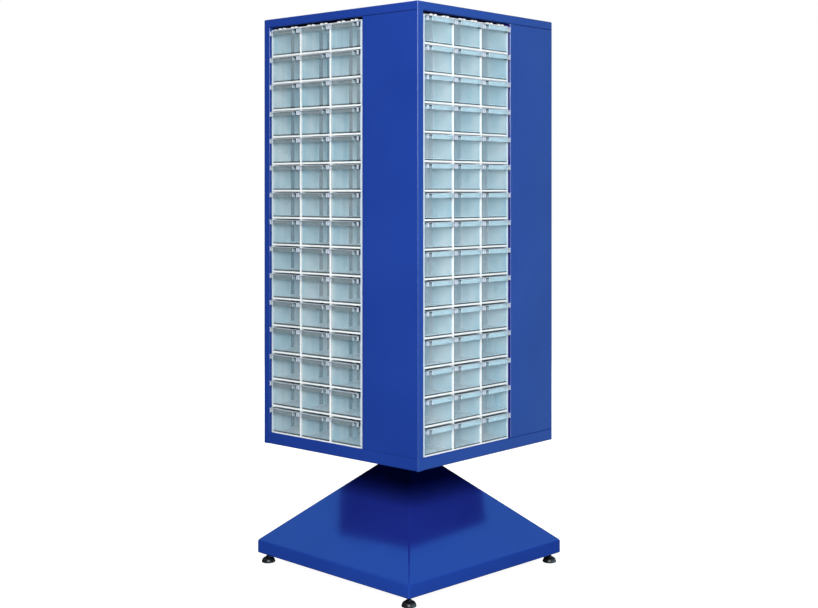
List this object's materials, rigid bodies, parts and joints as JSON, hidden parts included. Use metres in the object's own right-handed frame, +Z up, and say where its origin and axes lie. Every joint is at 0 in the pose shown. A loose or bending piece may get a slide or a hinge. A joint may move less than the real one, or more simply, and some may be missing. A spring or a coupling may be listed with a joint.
{
  "type": "rotating drawer cabinet",
  "caption": "Square tower of clear pull-out drawers in white frames, on all sides, that turns on a column over a low pyramid base with levelling feet.",
  "frame": {"origin": "centre of the base, on the floor under the feet", "axes": "+Z up along the column; the cabinet's sides face -Y, +X, +Y and -X, and the base is turned 3.1 degrees clockwise under it, as in the picture"},
  "size_m": [0.6632, 0.6632, 1.59],
  "materials": {
    "cabinet_blue": "smooth powder coat, satin",
    "base_blue": "smooth powder coat, satin",
    "frame_white": "moulded, satin",
    "drawer_clear": "clear moulding",
    "frame_steel": "matt black primer",
    "bright_steel": "zinc plated",
    "bearing_steel": "ground and oiled",
    "bush_plastic": "turned",
    "foot_black": "moulded, glossy"
  },
  "bodies": {
    "base": {"base_cover": "base_blue", "base_frame": "frame_steel", "foot_locknuts": "bright_steel", "column_flange": "frame_steel", "flange_bolts": "bright_steel", "column": "bright_steel", "thrust_collar": "bright_steel", "lower_race": "bearing_steel", "retaining_collar": "bright_steel"},
    "cabinet": {"upper_race": "bearing_steel", "lower_hub": "frame_steel", "lower_bush": "bush_plastic", "upper_hub": "frame_steel", "upper_bush": "bush_plastic", "hub_bolts": "bright_steel", "bottom_pan": "cabinet_blue", "top_pan": "cabinet_blue", "panel_screws": "bright_steel", "corner_panel_1": "cabinet_blue", "corner_panel_2": "cabinet_blue", "corner_panel_3": "cabinet_blue", "corner_panel_4": "cabinet_blue", "bay_wall_1": "cabinet_blue", "bay_wall_2": "cabinet_blue", "bay_wall_3": "cabinet_blue", "bay_wall_4": "cabinet_blue", "frame_stack_1": "frame_white", "frame_stack_2": "frame_white", "frame_stack_3": "frame_white", "frame_stack_4": "frame_white"},
    "ball_cage": {"ball_cage": "bearing_steel", "bearing_balls": "bearing_steel"},
    "drawer_single_1_1": {"drawer_single_1_1": "drawer_clear"},
    "drawer_bank_1_1": {"drawer_bank_1_1": "drawer_clear"},
    "drawer_single_1_2": {"drawer_single_1_2": "drawer_clear"},
    "drawer_bank_1_2": {"drawer_bank_1_2": "drawer_clear"},
    "drawer_single_1_3": {"drawer_single_1_3": "drawer_clear"},
    "drawer_bank_1_3": {"drawer_bank_1_3": "drawer_clear"},
    "drawer_single_2_1": {"drawer_single_2_1": "drawer_clear"},
    "drawer_bank_2_1": {"drawer_bank_2_1": "drawer_clear"},
    "drawer_single_2_2": {"drawer_single_2_2": "drawer_clear"},
    "drawer_bank_2_2": {"drawer_bank_2_2": "drawer_clear"},
    "drawer_single_2_3": {"drawer_single_2_3": "drawer_clear"},
    "drawer_bank_2_3": {"drawer_bank_2_3": "drawer_clear"},
    "drawer_single_3_1": {"drawer_single_3_1": "drawer_clear"},
    "drawer_bank_3_1": {"drawer_bank_3_1": "drawer_clear"},
    "drawer_single_3_2": {"drawer_single_3_2": "drawer_clear"},
    "drawer_bank_3_2": {"drawer_bank_3_2": "drawer_clear"},
    "drawer_single_3_3": {"drawer_single_3_3": "drawer_clear"},
    "drawer_bank_3_3": {"drawer_bank_3_3": "drawer_clear"},
    "drawer_single_4_1": {"drawer_single_4_1": "drawer_clear"},
    "drawer_bank_4_1": {"drawer_bank_4_1": "drawer_clear"},
    "drawer_single_4_2": {"drawer_single_4_2": "drawer_clear"},
    "drawer_bank_4_2": {"drawer_bank_4_2": "drawer_clear"},
    "drawer_single_4_3": {"drawer_single_4_3": "drawer_clear"},
    "drawer_bank_4_3": {"drawer_bank_4_3": "drawer_clear"},
    "levelling_foot_1": {"levelling_foot_1": "foot_black"},
    "levelling_foot_2": {"levelling_foot_2": "foot_black"},
    "levelling_foot_3": {"levelling_foot_3": "foot_black"},
    "levelling_foot_4": {"levelling_foot_4": "foot_black"}
  },
  "joints": [
    {"name": "cabinet_spin", "type": "hinge", "parent": "base", "child": "cabinet", "pos_m": [0, 0, 0.33], "axis": [0, 0, 1], "continuous": true},
    {"name": "cage_spin", "type": "hinge", "parent": "base", "child": "ball_cage", "pos_m": [0, 0, 0.33], "axis": [0, 0, 1], "continuous": true},
    {"name": "drawer_single_1_1_slide", "type": "slide", "parent": "cabinet", "child": "drawer_single_1_1", "axis": [0, -1, 0], "range_m": [0, 0.15]},
    {"name": "drawer_bank_1_1_slide", "type": "slide", "parent": "cabinet", "child": "drawer_bank_1_1", "axis": [0, -1, 0], "range_m": [0, 0.15]},
    {"name": "drawer_single_1_2_slide", "type": "slide", "parent": "cabinet", "child": "drawer_single_1_2", "axis": [0, -1, 0], "range_m": [0, 0.15]},
    {"name": "drawer_bank_1_2_slide", "type": "slide", "parent": "cabinet", "child": "drawer_bank_1_2", "axis": [0, -1, 0], "range_m": [0, 0.15]},
    {"name": "drawer_single_1_3_slide", "type": "slide", "parent": "cabinet", "child": "drawer_single_1_3", "axis": [0, -1, 0], "range_m": [0, 0.15]},
    {"name": "drawer_bank_1_3_slide", "type": "slide", "parent": "cabinet", "child": "drawer_bank_1_3", "axis": [0, -1, 0], "range_m": [0, 0.15]},
    {"name": "drawer_single_2_1_slide", "type": "slide", "parent": "cabinet", "child": "drawer_single_2_1", "axis": [1, 0, 0], "range_m": [0, 0.15]},
    {"name": "drawer_bank_2_1_slide", "type": "slide", "parent": "cabinet", "child": "drawer_bank_2_1", "axis": [1, 0, 0], "range_m": [0, 0.15]},
    {"name": "drawer_single_2_2_slide", "type": "slide", "parent": "cabinet", "child": "drawer_single_2_2", "axis": [1, 0, 0], "range_m": [0, 0.15]},
    {"name": "drawer_bank_2_2_slide", "type": "slide", "parent": "cabinet", "child": "drawer_bank_2_2", "axis": [1, 0, 0], "range_m": [0, 0.15]},
    {"name": "drawer_single_2_3_slide", "type": "slide", "parent": "cabinet", "child": "drawer_single_2_3", "axis": [1, 0, 0], "range_m": [0, 0.15]},
    {"name": "drawer_bank_2_3_slide", "type": "slide", "parent": "cabinet", "child": "drawer_bank_2_3", "axis": [1, 0, 0], "range_m": [0, 0.15]},
    {"name": "drawer_single_3_1_slide", "type": "slide", "parent": "cabinet", "child": "drawer_single_3_1", "axis": [0, 1, 0], "range_m": [0, 0.15]},
    {"name": "drawer_bank_3_1_slide", "type": "slide", "parent": "cabinet", "child": "drawer_bank_3_1", "axis": [0, 1, 0], "range_m": [0, 0.15]},
    {"name": "drawer_single_3_2_slide", "type": "slide", "parent": "cabinet", "child": "drawer_single_3_2", "axis": [0, 1, 0], "range_m": [0, 0.15]},
    {"name": "drawer_bank_3_2_slide", "type": "slide", "parent": "cabinet", "child": "drawer_bank_3_2", "axis": [0, 1, 0], "range_m": [0, 0.15]},
    {"name": "drawer_single_3_3_slide", "type": "slide", "parent": "cabinet", "child": "drawer_single_3_3", "axis": [0, 1, 0], "range_m": [0, 0.15]},
    {"name": "drawer_bank_3_3_slide", "type": "slide", "parent": "cabinet", "child": "drawer_bank_3_3", "axis": [0, 1, 0], "range_m": [0, 0.15]},
    {"name": "drawer_single_4_1_slide", "type": "slide", "parent": "cabinet", "child": "drawer_single_4_1", "axis": [-1, 0, 0], "range_m": [0, 0.15]},
    {"name": "drawer_bank_4_1_slide", "type": "slide", "parent": "cabinet", "child": "drawer_bank_4_1", "axis": [-1, 0, 0], "range_m": [0, 0.15]},
    {"name": "drawer_single_4_2_slide", "type": "slide", "parent": "cabinet", "child": "drawer_single_4_2", "axis": [-1, 0, 0], "range_m": [0, 0.15]},
    {"name": "drawer_bank_4_2_slide", "type": "slide", "parent": "cabinet", "child": "drawer_bank_4_2", "axis": [-1, 0, 0], "range_m": [0, 0.15]},
    {"name": "drawer_single_4_3_slide", "type": "slide", "parent": "cabinet", "child": "drawer_single_4_3", "axis": [-1, 0, 0], "range_m": [0, 0.15]},
    {"name": "drawer_bank_4_3_slide", "type": "slide", "parent": "cabinet", "child": "drawer_bank_4_3", "axis": [-1, 0, 0], "range_m": [0, 0.15]},
    {"name": "levelling_foot_1_screw", "type": "slide", "parent": "base", "child": "levelling_foot_1", "axis": [0, 0, -1], "range_m": [0, 0.012]},
    {"name": "levelling_foot_2_screw", "type": "slide", "parent": "base", "child": "levelling_foot_2", "axis": [0, 0, -1], "range_m": [0, 0.012]},
    {"name": "levelling_foot_3_screw", "type": "slide", "parent": "base", "child": "levelling_foot_3", "axis": [0, 0, -1], "range_m": [0, 0.012]},
    {"name": "levelling_foot_4_screw", "type": "slide", "parent": "base", "child": "levelling_foot_4", "axis": [0, 0, -1], "range_m": [0, 0.012]}
  ],
  "couplings": [
    {"joint": "cage_spin", "follows": "cabinet_spin", "ratio": 0.5}
  ]
}
